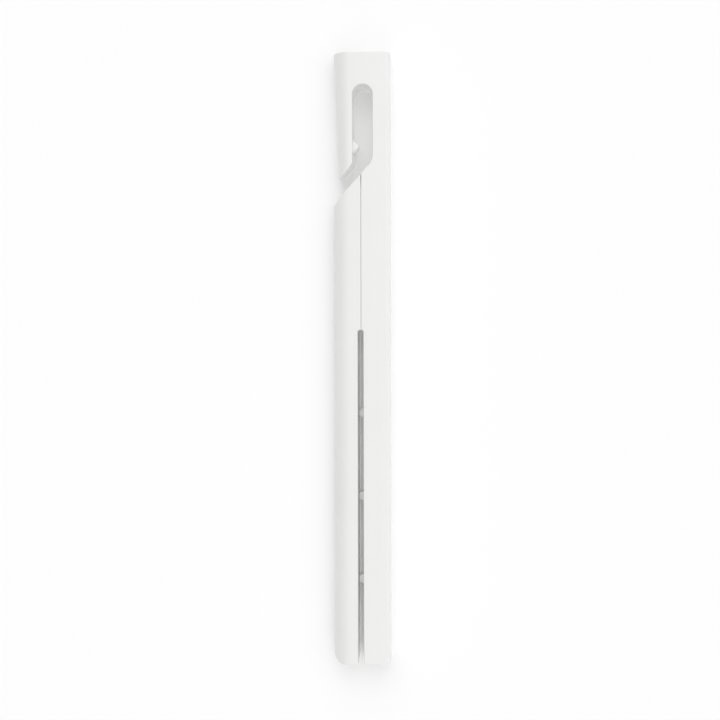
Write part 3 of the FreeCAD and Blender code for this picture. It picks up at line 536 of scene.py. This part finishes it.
def closed_pieces(name, parts, body):
    """Several closed grids as one object, doubles merged and faces turned outwards."""
    mesh = bpy.data.meshes.new(name)
    form = bmesh.new()
    for points, faces in parts:
        spots = [form.verts.new(point) for point in points.tolist()]
        for face in faces:
            form.faces.new([spots[corner] for corner in face])
    bmesh.ops.remove_doubles(form, verts=form.verts, dist=SAME_VERT)
    bmesh.ops.recalc_face_normals(form, faces=form.faces)
    form.to_mesh(mesh)
    form.free()
    return riding_piece(name, mesh, PEG_SHARP, body)


def nib():
    """The catch inside the hook: a peg that leans out of the left arm's inner wall."""
    part = peg(HOOK_LEFT - NIB_BURIED, HOOK_LEFT + NIB_RISE, NIB_Z, DEPTH / 2, NIB_ROOT_HALF,
               NIB_TIP_HALF, NIB_DEPTH_HALF, NIB_TIP_ROUND)
    return closed_pieces("hook_nib", [part], "hook_bar")


def teeth():
    """Three teeth across the slot, a quarter of its length apart, from the right wall almost to
    the left wall."""
    slot_right = SLOT_X + SLOT_HALF
    tip_x = (tooth_lo.x - CENTRE) / MM
    middle = (BACK - (tooth_lo.y + tooth_hi.y) / 2) / MM
    heights = SLOT_TOP * np.arange(1, TOOTH_COUNT + 1) / (TOOTH_COUNT + 1)
    parts = [peg(slot_right + TOOTH_BURIED, tip_x, height, middle, TOOTH_ROOT_HALF, TOOTH_TIP_HALF,
                 TOOTH_DEPTH_HALF, TOOTH_TIP_ROUND) for height in heights]
    return closed_pieces("slot_teeth", parts, "hook_bar")


def grip():
    """The soft strip on the jaw's side of the slot: a long pillow, a hair proud of the wall."""
    low, high = (grip_lo.z - LOWER_END) / MM, (grip_hi.z - LOWER_END) / MM
    near, far = (BACK - grip_hi.y) / MM, (BACK - grip_lo.y) / MM
    face = (grip_hi.x - CENTRE) / MM
    half = (high - low) / 2
    part = peg(face - GRIP_BURIED, face + GRIP_PROUD, (low + high) / 2, (near + far) / 2, half,
               half, (far - near) / 2, GRIP_ROUND)
    return closed_pieces("soft_grip_strip", [part], "jaw")


def stands_for(piece, node, slot, finishes):
    """The piece takes a CAD node's place, its material slot and that slot's finish."""
    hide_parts(node)
    piece.data.materials.append(finishes[slot])


def build_pieces(finishes):
    stands_for(hooked_bar(), "hook_bar_shell", "white_plastic", finishes)
    stands_for(nib(), "hook_bar_shell", "white_plastic", finishes)
    stands_for(jaw(), "jaw_shell", "white_plastic", finishes)
    stands_for(teeth(), "tooth_strip", "white_plastic", finishes)
    stands_for(grip(), "grip_strip", "soft_grip", finishes)


def group_tree(name, settings, outputs):
    """A node group with named number inputs, named number outputs and Object coordinates."""
    tree = bpy.data.node_groups.new(name, "ShaderNodeTree")
    for label, value in settings.items():
        socket = tree.interface.new_socket(label, in_out="INPUT", socket_type="NodeSocketFloat")
        socket.default_value = value
    for label in outputs:
        tree.interface.new_socket(label, in_out="OUTPUT", socket_type="NodeSocketFloat")
    given = tree.nodes.new("NodeGroupInput").outputs
    out = tree.nodes.new("NodeGroupOutput").inputs
    spot = tree.nodes.new("ShaderNodeTexCoord").outputs["Object"]
    return tree, given, out, spot


def number(tree, operation, first, second):
    """A number node whose two inputs are sockets or plain numbers."""
    node = tree.nodes.new("ShaderNodeMath")
    node.operation = operation
    for socket, value in zip(node.inputs, (first, second)):
        if isinstance(value, (int, float)):
            socket.default_value = value
        else:
            tree.links.new(value, socket)
    return node.outputs[0]


def noise(tree, spot, scale, detail, roughness=0.5):
    """A noise over the given coordinates, at a scale that comes from a socket."""
    node = tree.nodes.new("ShaderNodeTexNoise")
    node.inputs["Detail"].default_value = detail
    node.inputs["Roughness"].default_value = roughness
    tree.links.new(spot, node.inputs["Vector"])
    tree.links.new(scale, node.inputs["Scale"])
    return node.outputs["Fac"]


# How many times coarser than a finish's grain or lines its gloss and shade vary.
GRAIN_GLOSS_COARSER = 25.0
GRAIN_SHADE_COARSER = 70.0
LINES_GLOSS_COARSER = 40.0
LINES_SQUEEZE = 0.01
LINES_SHADE_LOW, LINES_SHADE_SPREAD = 0.94, 0.12


def mould_grain():
    """Texture of a spark-worn mould: a fine noise for the height, a coarser one for the gloss,
    and for the shade 1 plus Drift times a coarser one still, counted from its middle."""
    tree, given, out, spot = group_tree("mould grain", {"Scale": 4000.0, "Drift": 0.02},
                                        ["Height", "Gloss", "Shade"])
    tree.links.new(noise(tree, spot, given["Scale"], 3.0, 0.6), out["Height"])
    coarse = number(tree, "DIVIDE", given["Scale"], GRAIN_GLOSS_COARSER)
    tree.links.new(noise(tree, spot, coarse, 2.0), out["Gloss"])
    slow = noise(tree, spot, number(tree, "DIVIDE", given["Scale"], GRAIN_SHADE_COARSER), 2.0)
    spread = number(tree, "MULTIPLY", number(tree, "SUBTRACT", slow, 0.5), given["Drift"])
    tree.links.new(number(tree, "ADD", spread, 1.0), out["Shade"])
    return tree


def drawn_lines():
    """Fine lines along z, as drawn or rolled metal has: a noise squeezed to a hundredth along z
    for the height, and a coarser one for the gloss, which shifts the shade a little as well."""
    tree, given, out, spot = group_tree("drawn lines", {"Scale": 9000.0},
                                        ["Height", "Gloss", "Shade"])
    squeeze = tree.nodes.new("ShaderNodeMapping")
    squeeze.inputs["Scale"].default_value = (1.0, 1.0, LINES_SQUEEZE)
    tree.links.new(spot, squeeze.inputs["Vector"])
    tree.links.new(noise(tree, squeeze.outputs["Vector"], given["Scale"], 2.0), out["Height"])
    coarse = number(tree, "DIVIDE", given["Scale"], LINES_GLOSS_COARSER)
    patches = noise(tree, spot, coarse, 2.0)
    tree.links.new(patches, out["Gloss"])
    spread = number(tree, "MULTIPLY", patches, LINES_SHADE_SPREAD)
    tree.links.new(number(tree, "ADD", spread, LINES_SHADE_LOW), out["Shade"])
    return tree


def make_finish(name, colour, group, settings, rough, bump, metallic=0.0, specular=0.5):
    """A material on a shared group: the group's gloss spreads the roughness between two values,
    its height feeds the bump of a given strength and distance, and its shade times the colour
    is the base colour."""
    material = bpy.data.materials.new(name)
    material.use_nodes = True
    tree = material.node_tree
    shader = tree.nodes["Principled BSDF"]
    shader.inputs["Metallic"].default_value = metallic
    shader.inputs["Specular IOR Level"].default_value = specular
    effect = tree.nodes.new("ShaderNodeGroup")
    effect.node_tree = group
    for label, value in settings.items():
        effect.inputs[label].default_value = value
    low, high = rough
    spread = number(tree, "MULTIPLY", effect.outputs["Gloss"], high - low)
    tree.links.new(number(tree, "ADD", spread, low), shader.inputs["Roughness"])
    tint = tree.nodes.new("ShaderNodeMix")
    tint.data_type = "RGBA"
    tint.blend_type = "MULTIPLY"
    tint.inputs["Factor"].default_value = 1.0
    tint.inputs["A"].default_value = (*colour, 1)
    tree.links.new(effect.outputs["Shade"], tint.inputs["B"])
    tree.links.new(tint.outputs["Result"], shader.inputs["Base Color"])
    relief = tree.nodes.new("ShaderNodeBump")
    relief.inputs["Strength"].default_value, relief.inputs["Distance"].default_value = bump
    tree.links.new(effect.outputs["Height"], relief.inputs["Height"])
    tree.links.new(relief.outputs["Normal"], shader.inputs["Normal"])
    return material


def all_finishes():
    """One finish for each material slot of the record, by the slot's name."""
    grain, lines = mould_grain(), drawn_lines()
    return {
        "white_plastic": make_finish(
            "white moulded plastic", (0.82, 0.82, 0.812), grain, {"Scale": 4200.0, "Drift": 0.03},
            rough=(0.36, 0.5), bump=(0.25, 0.02 * MM)),
        "soft_grip": make_finish(
            "pale soft rubber", (0.70, 0.70, 0.69), grain, {"Scale": 6500.0, "Drift": 0.06},
            rough=(0.7, 0.9), bump=(0.4, 0.03 * MM), specular=0.3),
        "steel": make_finish(
            "rolled steel", (0.62, 0.62, 0.63), lines, {"Scale": 9000.0},
            rough=(0.28, 0.5), bump=(0.2, 0.01 * MM), metallic=1.0),
        "zinc_plated_steel": make_finish(
            "zinc plate", (0.70, 0.71, 0.74), lines, {"Scale": 5000.0},
            rough=(0.2, 0.42), bump=(0.12, 0.01 * MM), metallic=1.0),
        "spring_steel": make_finish(
            "spring steel", (0.5, 0.5, 0.51), lines, {"Scale": 12000.0},
            rough=(0.2, 0.35), bump=(0.1, 0.01 * MM), metallic=1.0),
        "brass": make_finish(
            "turned brass", (0.78, 0.60, 0.28), lines, {"Scale": 8000.0},
            rough=(0.22, 0.38), bump=(0.12, 0.01 * MM), metallic=1.0),
    }


def finish_cad_nodes(finishes):
    """Give every CAD node the finish of its material slot in the record."""
    for part in frame["record"]["subparts"]:
        mesh = frame["nodes"][part["node"]].data
        mesh.materials.clear()
        mesh.materials.append(finishes[part["material_slot"]])


# The white sheet, in metres: half its side, its gap behind the back, and how short a ray is that
# starts right beside it.
SHEET_REACH = 3.0
SHEET_GAP = 0.2 * MM
SHEET_BESIDE = 0.35 * MM
SHEET_WHITE = 0.95


def stage():
    """A white sheet just behind the flat back.  It is clear from behind, to shadow rays and to
    rays that start right beside it, so light from behind reaches the bar's sides and back."""
    mesh = bpy.data.meshes.new("sheet")
    depth = BACK + SHEET_GAP
    corners = [(x, depth, z) for x, z in ((-SHEET_REACH, -SHEET_REACH), (SHEET_REACH, -SHEET_REACH),
                                          (SHEET_REACH, SHEET_REACH), (-SHEET_REACH, SHEET_REACH))]
    mesh.from_pydata(corners, [], [(0, 1, 2, 3)])
    sheet = bpy.data.objects.new("sheet", mesh)
    bpy.context.collection.objects.link(sheet)
    material = bpy.data.materials.new("white sheet")
    material.use_nodes = True
    tree = material.node_tree
    tree.nodes.clear()
    matte = tree.nodes.new("ShaderNodeBsdfDiffuse")
    matte.inputs["Color"].default_value = (SHEET_WHITE, SHEET_WHITE, SHEET_WHITE, 1)
    clear = tree.nodes.new("ShaderNodeBsdfTransparent")
    path = tree.nodes.new("ShaderNodeLightPath").outputs
    behind = tree.nodes.new("ShaderNodeNewGeometry").outputs["Backfacing"]
    beside = number(tree, "LESS_THAN", path["Ray Length"], SHEET_BESIDE)
    passing = number(tree, "MAXIMUM", beside, path["Is Shadow Ray"])
    mix = tree.nodes.new("ShaderNodeMixShader")
    tree.links.new(number(tree, "MAXIMUM", behind, passing), mix.inputs["Fac"])
    tree.links.new(matte.outputs[0], mix.inputs[1])
    tree.links.new(clear.outputs[0], mix.inputs[2])
    out = tree.nodes.new("ShaderNodeOutputMaterial")
    tree.links.new(mix.outputs[0], out.inputs["Surface"])
    mesh.materials.append(material)


# Light from all round, and soft patches of sky: towards (x, y, z), how narrow, how strong.
ROUND_LIGHT = 0.30
PATCHES = [
    ((0, -1, 0), 12, 0.08),
    ((0, -1, 1), 6, 2.05),
    ((0, -1, -1), 6, 1.16),
    ((1, -1, 0), 6, 0.87),
    ((0, 0.7, -1), 4, 0.68),
    ((-1, 0.7, 0), 4, 0.22),
    ((0, 1, 0), 1, 0.93),
]
SEEN_TONE = 0.93


def lights():
    """A white studio all round, brighter towards some directions: each patch adds its strength
    times the cosine of the angle from its middle, raised to a power.  What is seen of it behind
    the bar is one even pale tone."""
    world = bpy.data.worlds.new("studio")
    bpy.context.scene.world = world
    world.use_nodes = True
    tree = world.node_tree
    background = tree.nodes["Background"]
    background.inputs["Color"].default_value = (1, 1, 1, 1)
    direction = tree.nodes.new("ShaderNodeTexCoord").outputs["Generated"]
    total = ROUND_LIGHT
    for axis, power, strength in PATCHES:
        toward = tree.nodes.new("ShaderNodeVectorMath")
        toward.operation = "DOT_PRODUCT"
        toward.inputs[1].default_value = Vector(axis).normalized()
        tree.links.new(direction, toward.inputs[0])
        cosine = number(tree, "MAXIMUM", toward.outputs["Value"], 0.0)
        patch = number(tree, "MULTIPLY", number(tree, "POWER", cosine, power), strength)
        total = number(tree, "ADD", total, patch)
    even = tree.nodes.new("ShaderNodeMix")
    even.inputs["B"].default_value = SEEN_TONE
    path = tree.nodes.new("ShaderNodeLightPath")
    tree.links.new(path.outputs["Is Camera Ray"], even.inputs["Factor"])
    tree.links.new(total, even.inputs["A"])
    tree.links.new(even.outputs["Result"], background.inputs["Strength"])


# Camera: lens and film, its distance in front and its offsets from the bar's middle, all in
# millimetres, and how far the film is shifted up, as a share of its width.
LENS, FILM = 50, 36
CAMERA_FRONT = 487.8
CAMERA_SIDE = 36.7
CAMERA_RISE = 25.0
FRAMED_X, FRAMED_Z = -0.5, 150.2
FILM_UP = -0.04


def camera():
    """A 50 mm lens half a metre in front, a little to the right of and above the middle."""
    data = bpy.data.cameras.new("camera")
    data.lens = LENS
    data.sensor_width = FILM
    scale = LENS / FILM
    data.shift_x = -CAMERA_SIDE / CAMERA_FRONT * scale
    data.shift_y = FILM_UP
    tilt = math.atan(CAMERA_RISE / CAMERA_FRONT + FILM_UP / scale)
    cam = bpy.data.objects.new("camera", data)
    bpy.context.collection.objects.link(cam)
    cam.location = place(np.float64(FRAMED_X + CAMERA_SIDE), np.float64(DEPTH + CAMERA_FRONT),
                         np.float64(FRAMED_Z + CAMERA_RISE))
    cam.rotation_euler = (math.radians(90) - tilt, 0, 0)
    bpy.context.scene.camera = cam


camera()
lights()
stage()
finishes = all_finishes()
build_pieces(finishes)
finish_cad_nodes(finishes)
bpy.context.scene.view_settings.view_transform = "Standard"
